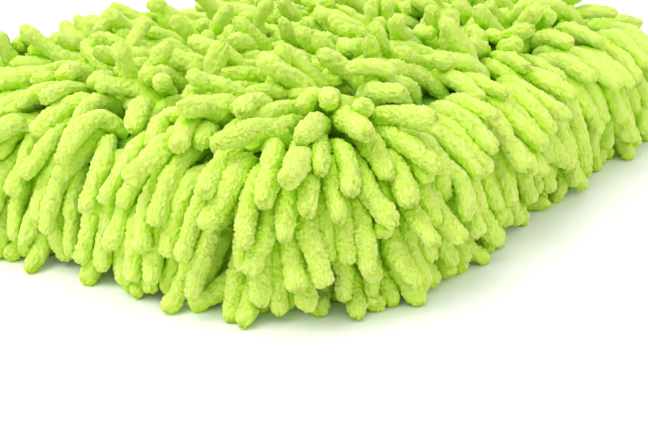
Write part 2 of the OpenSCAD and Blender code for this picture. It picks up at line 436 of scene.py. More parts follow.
def build(name, vertices, quads, triangles=(), uv=None, tint=None):
    """A mesh object from arrays: vertices, quads, triangles, one UV per corner and one tint per vertex."""
    mesh = bpy.data.meshes.new(name)
    faces = [np.asarray(quads, np.int32).reshape(-1, 4)]
    if len(triangles):
        faces.append(np.asarray(triangles, np.int32).reshape(-1, 3))
    loops = np.concatenate([f.ravel() for f in faces])
    sizes = np.concatenate([np.full(len(f), f.shape[1], np.int32) for f in faces])
    mesh.vertices.add(len(vertices))
    mesh.vertices.foreach_set("co", np.asarray(vertices, np.float32).ravel())
    mesh.loops.add(len(loops))
    mesh.loops.foreach_set("vertex_index", loops)
    mesh.polygons.add(len(sizes))
    mesh.polygons.foreach_set("loop_start", np.concatenate([[0], np.cumsum(sizes)[:-1]]).astype(np.int32))
    mesh.update(calc_edges=True)
    mesh.polygons.foreach_set("use_smooth", np.ones(len(sizes), bool))
    if uv is not None:
        layer = mesh.uv_layers.new(name="OFBake")
        layer.data.foreach_set("uv", np.asarray(uv, np.float32).ravel())
    if tint is not None:
        colours = np.ones((len(vertices), 4), np.float32)
        colours[:, : tint.shape[1]] = tint
        attribute = mesh.color_attributes.new("tint", "FLOAT_COLOR", "POINT")
        attribute.data.foreach_set("color", colours.ravel())
    mesh.validate()
    obj = bpy.data.objects.new(name, mesh)
    bpy.context.scene.collection.objects.link(obj)
    return obj


# The order of a quad's corners that makes it face the other way
FLIP = [0, 3, 2, 1]


def grid_quads(rows, columns, round_rows=False, round_columns=False):
    """Quads between the points of a grid, as indices. Either way of the grid can close on itself."""
    j = np.arange(rows if round_rows else rows - 1)[:, None]
    k = np.arange(columns if round_columns else columns - 1)
    down, right = (j + 1) % rows * columns, (k + 1) % columns
    j = j * columns
    return np.stack([j + k, j + right, down + right, down + k], -1).reshape(-1, 4)


def along_chain(x, length, samples):
    """Points at given distances along each chain, on a smooth curve through its knots."""
    first = 2 * x[:, :1] - x[:, 1:2]
    last = x[:, -1:] + unit(x[:, -1:] - x[:, -2:-1]) * (length[:, None, None] / (KNOTS - 1))
    p = np.concatenate([first, x, last, 2 * last - x[:, -1:]], 1)
    gap = np.linalg.norm(x[:, 1:] - x[:, :-1], axis=2).mean(1)
    t = samples / gap[:, None]
    k = np.clip(np.floor(t).astype(int), 0, KNOTS - 1)
    u = (t - k)[..., None]
    rows = np.arange(len(x))[:, None]
    a, b, c, d = (p[rows, k + j] for j in range(4))
    square = 2 * a - 5 * b + 4 * c - d
    cube = 3 * b - a - 3 * c + d
    return 0.5 * (2 * b + (c - a) * u + square * u * u + cube * u ** 3)


def rings_along(centre, theta):
    """The tangent at each point of many curves, and a ring of directions round it, with no twist."""
    tangent = unit(np.gradient(centre, axis=1))
    e1 = np.empty_like(tangent)
    upright = np.abs(tangent[:, 0, 2:3]) < 0.9
    reference = np.where(upright, np.array([[0, 0, 1.0]]), np.array([[1.0, 0, 0]]))
    e1[:, 0] = unit(np.cross(tangent[:, 0], reference))
    for j in range(1, centre.shape[1]):
        previous = e1[:, j - 1]
        along = (previous * tangent[:, j]).sum(1, keepdims=True) * tangent[:, j]
        e1[:, j] = unit(previous - along)
    e2 = np.cross(tangent, e1)
    return tangent, e1[:, :, None] * np.cos(theta)[:, None] + e2[:, :, None] * np.sin(theta)[:, None]


def capped_tubes(points, around):
    """Faces and UVs of n tubes whose rings are points[n, rings, around], closed by a tip and a root point."""
    n, rings = points.shape[:2]
    body = points.reshape(n, -1, 3)
    tips = points[:, -1].mean(1, keepdims=True)
    roots = points[:, 0].mean(1, keepdims=True)
    vertices = np.concatenate([body, tips, roots], 1)
    count = vertices.shape[1]
    quad = grid_quads(rings, around, round_columns=True)
    top = (rings - 1) * around
    k = np.arange(around)
    nxt = (k + 1) % around
    tip_fan = np.stack([top + k, top + nxt, np.full(around, count - 2)], -1)
    root_fan = np.stack([nxt, k, np.full(around, count - 1)], -1)
    shift = (np.arange(n) * count)[:, None, None]
    quads = (quad[None] + shift).reshape(-1, 4)
    tris = (np.concatenate([tip_fan, root_fan])[None] + shift).reshape(-1, 3)
    # Each tube is unrolled into its own cell of a square grid.
    rows = np.arange(1, rings)[:, None] + 0 * k
    quad_u = np.stack([k, k + 1, k + 1, k], -1)[None] + 0 * rows[..., None]
    quad_v = np.stack([rows, rows, rows + 1, rows + 1], -1)
    quad_uv = np.stack([quad_u / around, quad_v / (rings + 1)], -1).reshape(-1, 2)
    flat = 0 * k
    tip_uv = np.stack([np.stack([k, k + 1, k + 0.5], -1) / around,
                       np.stack([flat + rings, flat + rings, flat + rings + 1], -1) / (rings + 1)], -1)
    root_uv = np.stack([np.stack([k + 1, k, k + 0.5], -1) / around,
                        np.stack([flat + 1, flat + 1, flat], -1) / (rings + 1)], -1)
    tri_uv = np.concatenate([tip_uv, root_uv]).reshape(-1, 2)
    cells = math.ceil(math.sqrt(n))
    cell = np.stack([np.arange(n) % cells, np.arange(n) // cells], -1)[:, None]
    quad_uv = (cell + UV_MARGIN + quad_uv[None] * (1 - 2 * UV_MARGIN)) / cells
    tri_uv = (cell + UV_MARGIN + tri_uv[None] * (1 - 2 * UV_MARGIN)) / cells
    uv = np.concatenate([quad_uv.reshape(-1, 2), tri_uv.reshape(-1, 2)])
    return vertices.reshape(-1, 3), quads, tris, uv


def noodle_parts(x, length, seed, around, along):
    """Vertices, quads, triangles, UVs and tints of fuzzy noodles, one for each chain of knots."""
    n = len(x)
    rng = np.random.default_rng(seed)
    cap = NOODLE_R * rng.uniform(0.7, 1.4, n)[:, None]
    line = np.linspace(0, 1, along - CAP_RINGS)[None] * (length[:, None] - cap)
    arc = np.linspace(0, math.pi / 2, CAP_RINGS + 2)[None, 1:-1]
    blunt = rng.uniform(0.62, 1.0, n)[:, None]
    s = np.concatenate([line, (length[:, None] - cap) + cap * np.sin(arc)], 1)
    shape = np.concatenate([np.ones_like(line), np.cos(arc) ** blunt], 1)
    centre = along_chain(x, length, s)
    theta = np.arange(around) * 2 * math.pi / around
    tangent, ring = rings_along(centre, theta)
    root = 0.72 + 0.28 * smooth(s / (5 * MM))
    thick = rng.uniform(0.90, 1.08, n)[:, None]
    taper = 1.03 - 0.13 * smooth((s / length[:, None] - 0.45) / 0.55)
    swell = 1 + 0.06 * np.sin(s / (rng.uniform(1.4, 2.6, n)[:, None] * MM) + rng.uniform(0, 6.28, n)[:, None])
    radius = NOODLE_R * shape * root * thick * taper * swell
    flat = rng.uniform(0.0, 0.12, n)[:, None, None]
    flat_at = rng.uniform(0, math.pi, n)[:, None, None]
    oval = 1 + flat * np.cos(2 * (theta[None, None] - flat_at))
    steep = np.concatenate([np.zeros_like(line), np.sin(arc) + 0 * cap], 1)[..., None, None]
    outward = unit(ring * np.sqrt(1 - steep ** 2) + tangent[:, :, None] * steep)
    points = centre[:, :, None] + ring * (radius[:, :, None] * oval)[..., None]
    # Lumps, tufts and fibres are three sizes of noise, in each noodle's own space.
    own = np.empty(points.shape, np.float32)
    own[..., 0] = radius[:, :, None] * np.cos(theta)
    own[..., 1] = radius[:, :, None] * np.sin(theta)
    own[..., 2] = s[:, :, None]
    own += rng.uniform(0, 1, (n, 1, 1, 3)).astype(np.float32)
    own = own.reshape(-1, 3)
    lump = noise(own, LUMP[0], 3) * LUMP[1]
    tuft = noise(own, TUFT[0], 5) * TUFT[1]
    fibre = noise(own, FIBRE[0], 7) * FIBRE[1]
    grain = rng.uniform(-1, 1, len(own)) * GRAIN
    fade = np.repeat(smooth(s / (2 * MM)).ravel(), around)
    lift = (lump + tuft + fibre + grain) * MM * fade
    points = (points.reshape(-1, 3) + outward.reshape(-1, 3) * lift[:, None]).reshape(points.shape)
    points[..., 2] = np.maximum(points[..., 2], FLOOR_Z + 0.1 * MM)
    # Tint: how high the fibre stands and how far along the noodle, which the pile's colour turns into painted
    # shade low in the pile and at the roots, and a random dye shade for each noodle.
    high = np.clip(0.5 + tuft * 0.3 + fibre * 0.8 + grain * 0.9, 0, 1).reshape(n, -1)
    high = np.concatenate([high, high[:, -1:], high[:, :1]], 1)
    far = np.repeat(s / length[:, None], around, 1)
    far = np.concatenate([far, np.ones((n, 1)), np.zeros((n, 1))], 1)
    shade = rng.uniform(0, 1, n)[:, None] + 0 * high
    tint = np.stack([high, far, shade], -1).reshape(-1, 3)
    return (*capped_tubes(points, around), tint)


# ---------------------------------------------------------------- pocket layers

def rounded_outline(heel=72, corner_count=24, straight_count=26):
    """The pocket's centre line as points and outward directions: the open run from one side of the
    cuff round the fingertips to the other, and then the short run behind the cuff that closes it."""
    points, outward = [], []

    def corner(cx, cy, start, stop, count):
        for a in np.radians(np.linspace(start, stop, count, endpoint=False)):
            points.append([cx + TURN_R * math.cos(a), cy + TURN_R * math.sin(a)])
            outward.append([math.cos(a), math.sin(a)])

    def straight(x0, y0, x1, y1, facing, count):
        for t in np.linspace(0, 1, count, endpoint=False):
            points.append([x0 + (x1 - x0) * t, y0 + (y1 - y0) * t])
            outward.append(facing)

    corner(TURN_X, -TURN_Y, -heel, 0, corner_count)
    straight(LINE_X, -TURN_Y, LINE_X, TURN_Y, [1, 0], 2 * straight_count)
    corner(TURN_X, TURN_Y, 0, 90, corner_count)
    straight(TURN_X, LINE_Y, -TURN_X, LINE_Y, [0, 1], straight_count)
    corner(-TURN_X, TURN_Y, 90, 180, corner_count)
    straight(-LINE_X, TURN_Y, -LINE_X, -TURN_Y, [-1, 0], 2 * straight_count)
    corner(-TURN_X, -TURN_Y, 180, 180 + heel + 0.01, corner_count + 1)
    run = len(points)
    end_x = TURN_X + TURN_R * math.cos(math.radians(heel))
    straight(-end_x, -LINE_Y, end_x, -LINE_Y, [0, -1], straight_count)
    return np.array(points), np.array(outward), run


def layer(name, radius, thickness, side):
    """Half of one layer of the pocket: flat over the hand, rounded down to the edge, open at the cuff."""
    outline, outward, run = rounded_outline()
    count = len(outline)
    rings = 30
    arcs = 9
    wave_l, dimple_l = 26 * MM, 7 * MM
    shares = np.linspace(0, 1, rings + 1)[1:]
    flat = outline[None] * shares[:, None, None]
    flat = np.concatenate([flat, np.full((rings, count, 1), radius)], 2).reshape(-1, 3)
    turn = np.radians(np.linspace(90, 0, arcs + 1)[1:])[:, None, None]
    facing = np.concatenate([outward[None, :run] * np.cos(turn), np.sin(turn) + np.zeros((arcs, run, 1))], 2)
    line = np.column_stack([outline[:run], np.zeros(run)])
    rolled = (line[None] + facing * radius).reshape(-1, 3)
    p = np.concatenate([[[0, 0, radius]], flat, rolled])
    normal = np.concatenate([np.tile([[0.0, 0, 1]], (1 + rings * count, 1)), facing.reshape(-1, 3)])
    seam = 1 - smooth((p[:, 2] - 3 * MM) / (3 * MM))
    lift = (noise(p, wave_l, 11) + noise(p, dimple_l, 13) * 0.5) * RELIEF
    p = p + normal * (lift * (1 - seam))[:, None]
    k = np.arange(count)
    nxt = (k + 1) % count
    fan = np.stack([np.zeros(count, int), 1 + k, 1 + nxt], 1)
    k = np.arange(run - 1)
    edge = 1 + (rings - 1) * count
    low = 1 + rings * count
    quads = np.concatenate([
        grid_quads(rings, count, round_columns=True)[:, FLIP] + 1,
        np.stack([edge + k, low + k, low + k + 1, edge + k + 1], -1),
        grid_quads(arcs, run)[:, FLIP] + low,
    ])
    p[:, 2] *= side
    if side < 0:
        quads, fan = quads[:, ::-1], fan[:, ::-1]
    piece = build(name, p + MID, quads, fan)
    thicken(piece, thickness)
    return piece


def thicken(piece, thickness):
    """Gives a surface its thickness inwards, with closed rims."""
    solid = piece.modifiers.new("thickness", "SOLIDIFY")
    solid.thickness = thickness
    solid.offset = -1
    graph = bpy.context.evaluated_depsgraph_get()
    mesh = bpy.data.meshes.new_from_object(piece.evaluated_get(graph), depsgraph=graph)
    piece.modifiers.clear()
    piece.data = mesh


def add_layers():
    foam_r = foam_high.z - MID[2]
    lining_r = lining_high.z - MID[2]
    fabric_t = EDGE_R - foam_r - SKIN_GAP
    foam_t = foam_r - lining_r - SKIN_GAP
    for face, side in (("back", 1), ("palm", -1)):
        piece = layer(face + "_fabric.knit", EDGE_R, fabric_t, side)
        finish_piece(piece, KNIT, "base_knit", "mitt", face + "_fabric")
        piece = layer(face + "_foam.pad", foam_r, foam_t, side)
        finish_piece(piece, FOAM, "foam", "mitt", face + "_foam")
        piece = layer(face + "_lining.cloth", lining_r, LINING_T, side)
        finish_piece(piece, LINING, "lining", "mitt", face + "_lining")


# ---------------------------------------------------------------- swept bands and threads

def sweep(name, path, across, outward, profile, relief, closed):
    """A mesh of a closed profile carried along a path. A profile point is (across, outward), and the
    relief moves each point of it outward."""
    m = len(path)
    n = len(profile)
    high = (profile[:, 1] + relief)[..., None]
    p = (path[:, None] + across[:, None] * profile[:, :1] + outward[:, None] * high).reshape(-1, 3)
    fans = []
    if not closed:
        k = np.arange(n)
        nxt = (k + 1) % n
        p = np.concatenate([p, p[:n].mean(0)[None], p[-n:].mean(0)[None]])
        fans = np.concatenate([np.stack([nxt, k, np.full(n, m * n)], 1),
                               np.stack([(m - 1) * n + k, (m - 1) * n + nxt, np.full(n, m * n + 1)], 1)])
    return build(name, p, grid_quads(m, n, round_rows=closed, round_columns=True), fans)


def rounded_bar(width, height, count, corner=4):
    """A flat bar's cross-section with rounded edges, with extra points over its width."""
    r = min(width, height) / 2
    x = np.linspace(-width / 2 + r, width / 2 - r, count)
    turn = np.radians(np.linspace(90, -90, corner + 1))[1:-1]
    right = np.stack([width / 2 - r + r * np.cos(turn), r * np.sin(turn)], 1)
    top = np.stack([x, np.full(count, height / 2)], 1)
    low = np.stack([x[::-1], np.full(count, -height / 2)], 1)
    return np.concatenate([top, right, low, -right])[::-1]


def stitches(name, starts, ends, outward, radius, sink):
    """Short threads that come out of the cloth at one end and go back in at the other."""
    t = np.linspace(0, 1, 9)[None, :, None]
    arch = np.sqrt(np.maximum(1 - (2 * t - 1) ** 4, 0))
    lines = starts[:, None] * (1 - t) + ends[:, None] * t + outward[:, None] * (arch * sink - sink)
    return tubes(name, lines, radius, 8)


def stitch_row(low, high, count, z, side, gap):
    """Starts, ends and outward directions of a straight row of stitches along a box."""
    xs = np.linspace(low.x, high.x, count + 1)
    level = np.zeros(count)
    y = level + (low.y + high.y) / 2
    starts = np.stack([xs[:-1] + gap, y, level + z], 1)
    ends = np.stack([xs[1:] - gap, y, level + z], 1)
    return starts, ends, np.stack([level, level, level + side], 1)


def tubes(name, lines, radius, around):
    """Round threads along many lines of points, narrower where they enter the cloth."""
    _, ring = rings_along(lines, np.arange(around) * 2 * math.pi / around)
    reach = np.full((*lines.shape[:2], 1, 1), radius)
    reach[:, [0, -1]] *= 0.55
    vertices, quads, tris, _ = capped_tubes(lines[:, :, None] + ring * reach, around)
    return build(name, vertices, quads, tris)


def add_seam():
    """The binding inside the edge seam, and the thread that closes the seam outside."""
    outline, outward, run = rounded_outline(heel=58, corner_count=40, straight_count=60)
    low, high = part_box("seam_binding")
    path = np.column_stack([outline[:run], np.zeros(run)])
    out = np.column_stack([outward[:run], np.zeros(run)])
    up = np.tile([[0, 0, 1.0]], (run, 1))
    middle = high.x - LINE_X - BINDING_T / 2
    profile = rounded_bar(high.z - low.z, BINDING_T, 12)
    weave = 0.10 * MM * np.cos(np.arange(run)[:, None] * math.pi) * np.sign(profile[:, 1])
    piece = sweep("seam_binding.tape", path + out * middle + MID, up, out, profile, weave, False)
    finish_piece(piece, BINDING, "binding", "mitt", "seam_binding")
    low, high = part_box("side_seam_thread")
    middle = high.x - LINE_X - THREAD_R
    line = (path + out * middle)[::2] + MID
    lift = np.array([0, 0, 0.9 * MM])
    piece = stitches("side_seam_thread.stitches", line[:-1] - lift, line[1:] + lift, out[::2][:-1],
                     THREAD_R, 0.5 * MM)
    finish_piece(piece, THREAD, "thread", "mitt", "side_seam_thread")


# ---------------------------------------------------------------- cuff

def droop(p):
    """The cuff's free end sinks a little under its own weight, and its mouth is not quite flat."""
    p = np.asarray(p, float)
    far = smooth((CUFF_Y - p[..., 1]) / (CUFF_Y - HEM_Y))
    moved = p.copy()
    moved[..., 2] -= far * (DROOP + MOUTH_WAVE * np.sin(p[..., 0] / (26 * MM) + 0.6))
    return moved


def round_cuff(count):
    """Going round the cuff: the core point, the outward direction and the distance round the outside."""
    straight = 2 * TURN_X
    bend = math.pi * EDGE_R
    total = 2 * (straight + bend)
    s = np.arange(count) / count * total
    core_x = np.empty(count)
    angle = np.empty(count)
    for start, length, x0, x1, a0, a1 in (
        (0, straight, -TURN_X, TURN_X, 90, 90),
        (straight, bend, TURN_X, TURN_X, 90, -90),
        (straight + bend, straight, TURN_X, -TURN_X, -90, -90),
        (2 * straight + bend, bend, -TURN_X, -TURN_X, -90, -270),
    ):
        here = (s >= start) & (s < start + length)
        t = (s[here] - start) / length
        core_x[here] = x0 + (x1 - x0) * t
        angle[here] = np.radians(a0 + (a1 - a0) * t)
    outward = np.stack([np.cos(angle), np.zeros(count), np.sin(angle)], 1)
    core = np.stack([core_x, np.zeros(count), np.zeros(count)], 1) + [MID[0], 0, MID[2]]
    return core, outward, s, total


def add_cuff():
    """A rib knit tube folded at the hem: outside, round the fold, inside, and the slot for the elastic."""
    core, outward, s, total = round_cuff(RIBS * RIB_POINTS)
    inner_r = EDGE_R - 2 * KNIT_T - CUFF_SLOT
    middle_r = (EDGE_R + inner_r) / 2
    fold_r = (EDGE_R - inner_r) / 2
    rows = []

    def wall(y0, y1, r, count, rib):
        for t in np.linspace(0, 1, count):
            rows.append((y0 + (y1 - y0) * t, r, rib))

    def bend(radius, start, stop, count, rib):
        for a in np.radians(np.linspace(start, stop, count + 2)[1:-1]):
            rows.append((HEM_Y + fold_r - radius * math.sin(a), middle_r + radius * math.cos(a), rib))

    fold_y = HEM_Y + fold_r
    wall(CUFF_Y, fold_y, EDGE_R, 92, 1)
    bend(fold_r, 0, 180, 8, 1)
    wall(fold_y, CUFF_Y, inner_r, 40, -1)
    wall(CUFF_Y, fold_y, inner_r + KNIT_T, 12, 0)
    bend(fold_r - KNIT_T, 180, 0, 3, 0)
    wall(fold_y, CUFF_Y, EDGE_R - KNIT_T, 12, 0)
    y, r, rib = np.array(rows).T
    stitch_h, pull_in, pucker_h, swell_h = 0.16 * MM, 0.25 * MM, 0.30 * MM, 0.35 * MM
    phase = s / total * RIBS * 2 * math.pi
    ridge = (0.5 + 0.5 * np.cos(phase)) ** 0.8
    chevron = np.abs((phase / (2 * math.pi) + 0.5) % 1 - 0.5) * 1.2
    stitch = np.abs(((y[:, None] / KNIT_ROW + chevron) % 1) - 0.5) * 2
    gather = smooth(1 - np.abs(y - (HEM_Y + 8 * MM)) / (12 * MM))[:, None]
    ease = smooth((CUFF_Y - y) / (6 * MM))[:, None]
    furrow = RIB_H * (0.35 + 0.65 * ease) * (ridge - 1)
    height = rib[:, None] * (furrow + ridge * (stitch - 0.5) * stitch_h)
    size = (len(y), len(s))
    drum = (np.cos(phase / RIBS) * 40 * MM, y[:, None], np.sin(phase / RIBS) * 40 * MM)
    drum = np.stack([np.broadcast_to(values, size) for values in drum], -1).reshape(-1, 3)
    swell = noise(drum, 14 * MM, 17).reshape(size)
    pucker = gather * np.sin(phase / 4.1 + 0.5) * pucker_h + swell * swell_h * ease
    reach = r[:, None] + height - gather * pull_in + pucker
    p = core[None] + outward[None] * reach[..., None]
    p[..., 1] = y[:, None]
    quads = grid_quads(*size, round_rows=True, round_columns=True)
    # The tint holds each point's rib ridge, which the rib knit's colour turns into painted shade in the
    # furrows, and its stitch row.
    tint = np.stack([np.broadcast_to(values, size) for values in (ridge, stitch)], -1).reshape(-1, 2)
    piece = build("cuff.rib_knit", droop(p).reshape(-1, 3), quads, tint=tint)
    finish_piece(piece, RIB, "rib_knit", "mitt", "cuff")


def add_elastic():
    """A woven band in the slot of the hem, with lengthways cords and a fine cross rib."""
    low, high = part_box("cuff_elastic")
    count = 440
    core, outward, s, _ = round_cuff(count)
    middle = (high.z - low.z) / 2 - ELASTIC_T / 2
    profile = rounded_bar(high.y - low.y, ELASTIC_T, 20)
    path = core + outward * middle
    path[:, 1] = (low.y + high.y) / 2
    cord_l, cord_h = 0.9 * MM, 0.06 * MM
    rib_l, rib_h = 2.6 * MM, 0.05 * MM
    cords = cord_h * np.cos(profile[:, 0] / cord_l * 2 * math.pi)
    cross_rib = rib_h * np.cos(s / rib_l * 2 * math.pi)[:, None]
    relief = cords * np.sign(profile[:, 1]) + cross_rib
    along = np.tile([[0, 1.0, 0]], (count, 1))
    piece = sweep("cuff_elastic.band", droop(path), along, outward, profile, relief, True)
    finish_piece(piece, ELASTIC, "elastic", "mitt", "cuff_elastic")


def add_cuff_threads():
    """A zigzag that holds the hem, all the way round, and a line of stitches at the join."""
    low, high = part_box("cuff_hem_thread")
    core, outward, _, _ = round_cuff(ZIGZAG_STEPS)
    line = core + outward * (high.z - MID[2] - THREAD_R - 0.25 * MM)
    line[:, 1] = (low.y + high.y) / 2 + np.where(np.arange(ZIGZAG_STEPS) % 2, 1, -1) * ZIGZAG_H
    line = droop(line)
    piece = stitches("cuff_hem_thread.zigzag", line, np.roll(line, -1, 0), outward, THREAD_R, 0.45 * MM)
    finish_piece(piece, THREAD, "thread", "mitt", "cuff_hem_thread")
    low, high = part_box("cuff_join_thread")
    count = round((high.x - low.x) / STITCH_L)
    half_h = (high.z - low.z) / 2 - THREAD_R
    rows = [stitch_row(low, high, count, MID[2] + side * half_h, side, 0.2 * MM) for side in (1, -1)]
    starts, ends, outward = (np.concatenate(sets) for sets in zip(*rows))
    piece = stitches("cuff_join_thread.stitches", starts, ends, outward, THREAD_R, 0.45 * MM)
    finish_piece(piece, THREAD, "thread", "mitt", "cuff_join_thread")


# ---------------------------------------------------------------- loop and label

def add_loop():
    """A ring of woven webbing that lies flat: round where the tack holds it, fuller at its free end."""
    low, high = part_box("hanging_loop")
    width = high.x - low.x
    middle_x, middle_z = (low.x + high.x) / 2, (low.z + high.z) / 2
    half_h = (high.z - low.z) / 2 - WEBBING_T / 2
    run = (high.y - low.y) / 2 - WEBBING_T / 2
    count = 300
    turn = np.arange(count) * 2 * math.pi / count
    y = (low.y + high.y) / 2 + run * np.cos(turn)
    pinch = 1 - 0.42 * smooth((1 + np.cos(turn)) / 2) * smooth((1 - np.cos(turn)) / 0.25)
    z = middle_z + half_h * np.sign(np.sin(turn)) * np.abs(np.sin(turn)) ** 0.55 * pinch
    path = np.stack([np.full(count, middle_x), y, z], 1)
    for _ in range(3):
        path = (np.roll(path, 1, 0) + 2 * path + np.roll(path, -1, 0)) / 4
    tangent = unit(np.roll(path, -1, 0) - np.roll(path, 1, 0))
    across = np.tile([[1.0, 0, 0]], (count, 1))
    outward = unit(np.cross(tangent, across))
    profile = rounded_bar(width, WEBBING_T, 26)
    s = np.concatenate([[0], np.cumsum(np.linalg.norm(np.diff(path, axis=0), axis=1))])
    twill_w, twill_l, twill_h = 2.5 * MM, 1.1 * MM, 0.07 * MM
    bow = np.abs(((profile[:, 0] / twill_w) % 1) - 0.5) * 2
    twill = np.cos((s[:, None] / twill_l + bow[None] * 0.9) * 2 * math.pi)
    relief = twill_h * twill * np.sign(profile[:, 1])
    piece = sweep("hanging_loop.webbing", droop(path), across, outward, profile, relief, True)
    finish_piece(piece, WEBBING, "webbing", "hanging_loop", "hanging_loop")


def wound_bar(start, end, radius, pitch):
    """The line of a thread wound tightly round a bar."""
    axis = end - start
    length = np.linalg.norm(axis)
    axis = axis / length
    reference = np.array([0, 1.0, 0])
    e1 = unit(np.cross(axis, reference))
    e2 = np.cross(axis, e1)
    turns = length / pitch
    t = np.linspace(0, 1, LINE_POINTS)[:, None]
    angle = t * turns * 2 * math.pi
    return start + axis * length * t + (e1 * np.cos(angle) + e2 * np.sin(angle)) * radius


def add_tacks():
    """The wound bar and two legs of thread that hold the loop, and the stitches that hold the label."""
    low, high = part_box("loop_tack")
    y = (low.y + high.y) / 2
    bar_z = high.z - TACK_R
    leg_r = TACK_R * 0.8
    bar = np.array([[low.x, y, bar_z], [high.x, y, bar_z]])
    lines = [wound_bar(*bar, TACK_R - TACK_THREAD_R, TACK_PITCH)]
    for x in (low.x + TACK_R, high.x - TACK_R):
        leg = np.array([[x, y, low.z - 0.3 * MM], [x, y, bar_z]])
        lines.append(wound_bar(*leg, leg_r - TACK_THREAD_R, TACK_PITCH))
    piece = tubes("loop_tack.thread", droop(np.array(lines)), TACK_THREAD_R, 8)
    finish_piece(piece, THREAD, "thread", "mitt", "loop_tack")
    low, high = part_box("label_tack")
    starts, ends, up = stitch_row(low, high, LABEL_STITCHES, (low.z + high.z) / 2, 1, 0.15 * MM)
    piece = stitches("label_tack.stitches", droop(starts), droop(ends), up, THREAD_R, 0.4 * MM)
    finish_piece(piece, THREAD, "thread", "mitt", "label_tack")


def add_label():
    """A blank woven label: a soft strip that curls up a little towards its free end."""
    low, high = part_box("care_label")
    nx, ny = 34, 44
    x = np.linspace(low.x, high.x, nx)
    t = np.linspace(0, 1, ny)
    grid_x, grid_t = np.meshgrid(x, t)
    y = high.y - (high.y - low.y) * grid_t
    middle = (grid_x - (low.x + high.x) / 2) / (high.x - low.x) * 2
    curl, cup, wave, hem = 1.6 * MM, 0.5 * MM, 0.25 * MM, 0.18 * MM
    z = high.z + curl * grid_t ** 2 + cup * middle ** 2 * grid_t
    z = z + wave * np.sin(grid_x / (5 * MM) + 1.0) * grid_t
    z = z + hem * smooth((np.abs(middle) - 0.86) / 0.05)
    p = np.stack([grid_x, y, z], -1).reshape(-1, 3)
    piece = build("care_label.cloth", droop(p), grid_quads(ny, nx)[:, FLIP])
    thicken(piece, LABEL_T)
    finish_piece(piece, LABEL, "label", "care_label", "care_label")


# ---------------------------------------------------------------- materials

class Finish:
    """A material whose colour, roughness and bump come from nodes."""

    def __init__(self, name, roughness, sheen=0.0, sheen_tint=(1, 1, 1), specular=0.3):
        self.material = bpy.data.materials.new(name)
        self.material.use_nodes = True
        self.tree = self.material.node_tree
        self.shader = self.tree.nodes["Principled BSDF"]
        self.set("Roughness", roughness)
        self.set("Specular IOR Level", specular)
        self.set("Sheen Weight", sheen)
        self.set("Sheen Roughness", 0.5)
        self.set("Sheen Tint", (*sheen_tint, 1))
        self.place = self.add("ShaderNodeTexCoord").outputs["Object"]

    def set(self, socket, value):
        self.shader.inputs[socket].default_value = value

    def add(self, kind, **settings):
        node = self.tree.nodes.new(kind)
        for key, value in settings.items():
            setattr(node, key, value)
        return node

    def plug(self, socket, value):
        """Links a node's output to a socket, or sets the socket to a plain value."""
        if isinstance(value, bpy.types.NodeSocket):
            self.tree.links.new(value, socket)
        else:
            socket.default_value = value

    def maths(self, operation, a, b=0.0, c=0.0):
        node = self.add("ShaderNodeMath", operation=operation)
        for socket, value in zip(node.inputs, (a, b, c)):
            self.plug(socket, value)
        return node.outputs[0]

    def span(self, value, low, high, new_low=0.0, new_high=1.0):
        """A value's range from low to high, moved to a new range and held inside it."""
        node = self.add("ShaderNodeMapRange")
        for socket, number in zip(node.inputs, (value, low, high, new_low, new_high)):
            self.plug(socket, number)
        return node.outputs[0]

    def mix(self, factor, a, b):
        node = self.add("ShaderNodeMix", data_type="RGBA")
        self.plug(node.inputs["Factor"], factor)
        self.plug(node.inputs[6], (*a, 1) if isinstance(a, tuple) else a)
        self.plug(node.inputs[7], (*b, 1) if isinstance(b, tuple) else b)
        return node.outputs[2]

    def grain(self, size, detail=2.0, stretch=(1, 1, 1)):
        """Noise from 0 to 1 with grains of a given size in metres."""
        mapping = self.add("ShaderNodeMapping")
        mapping.inputs["Scale"].default_value = stretch
        self.tree.links.new(self.place, mapping.inputs["Vector"])
        node = self.add("ShaderNodeTexNoise")
        self.tree.links.new(mapping.outputs[0], node.inputs["Vector"])
        node.inputs["Scale"].default_value = 1 / size
        node.inputs["Detail"].default_value = detail
        return node.outputs["Fac"]

    def cells(self, size):
        """Distance from the middle of round cells of a given size, for pores."""
        node = self.add("ShaderNodeTexVoronoi")
        self.tree.links.new(self.place, node.inputs["Vector"])
        node.inputs["Scale"].default_value = 1 / size
        return node.outputs["Distance"]

    def open_sky(self, reach):
        """How open a point is, from 0 deep between its neighbours to 1 in the open, for painting shade into a
        colour.
        """
        node = self.add("ShaderNodeAmbientOcclusion", samples=4)
        node.inputs["Distance"].default_value = reach
        return node.outputs["AO"]

    def tint(self):
        """The three channels of the mesh's own tint."""
        attribute = self.add("ShaderNodeAttribute", attribute_name="tint")
        split = self.add("ShaderNodeSeparateColor")
        self.tree.links.new(attribute.outputs["Color"], split.inputs[0])
        return split.outputs[0], split.outputs[1], split.outputs[2]

    def axis(self, letter):
        split = self.add("ShaderNodeSeparateXYZ")
        self.tree.links.new(self.place, split.inputs[0])
        return split.outputs[letter]

    def wave(self, value, period, phase=0.0):
        """A sine from 0 to 1 along a value in metres."""
        turn = self.maths("MULTIPLY_ADD", value, 2 * math.pi / period, phase)
        return self.maths("MULTIPLY_ADD", self.maths("SINE", turn), 0.5, 0.5)

    def colour(self, value):
        self.plug(self.shader.inputs["Base Color"], value)

    def rough(self, value, low, high):
        self.plug(self.shader.inputs["Roughness"], self.span(value, 0.0, 1.0, low, high))

    def bump(self, height, distance, strength=1.0):
        node = self.add("ShaderNodeBump")
        node.inputs["Strength"].default_value = strength
        node.inputs["Distance"].default_value = distance
        self.tree.links.new(height, node.inputs["Height"])
        self.tree.links.new(node.outputs[0], self.shader.inputs["Normal"])


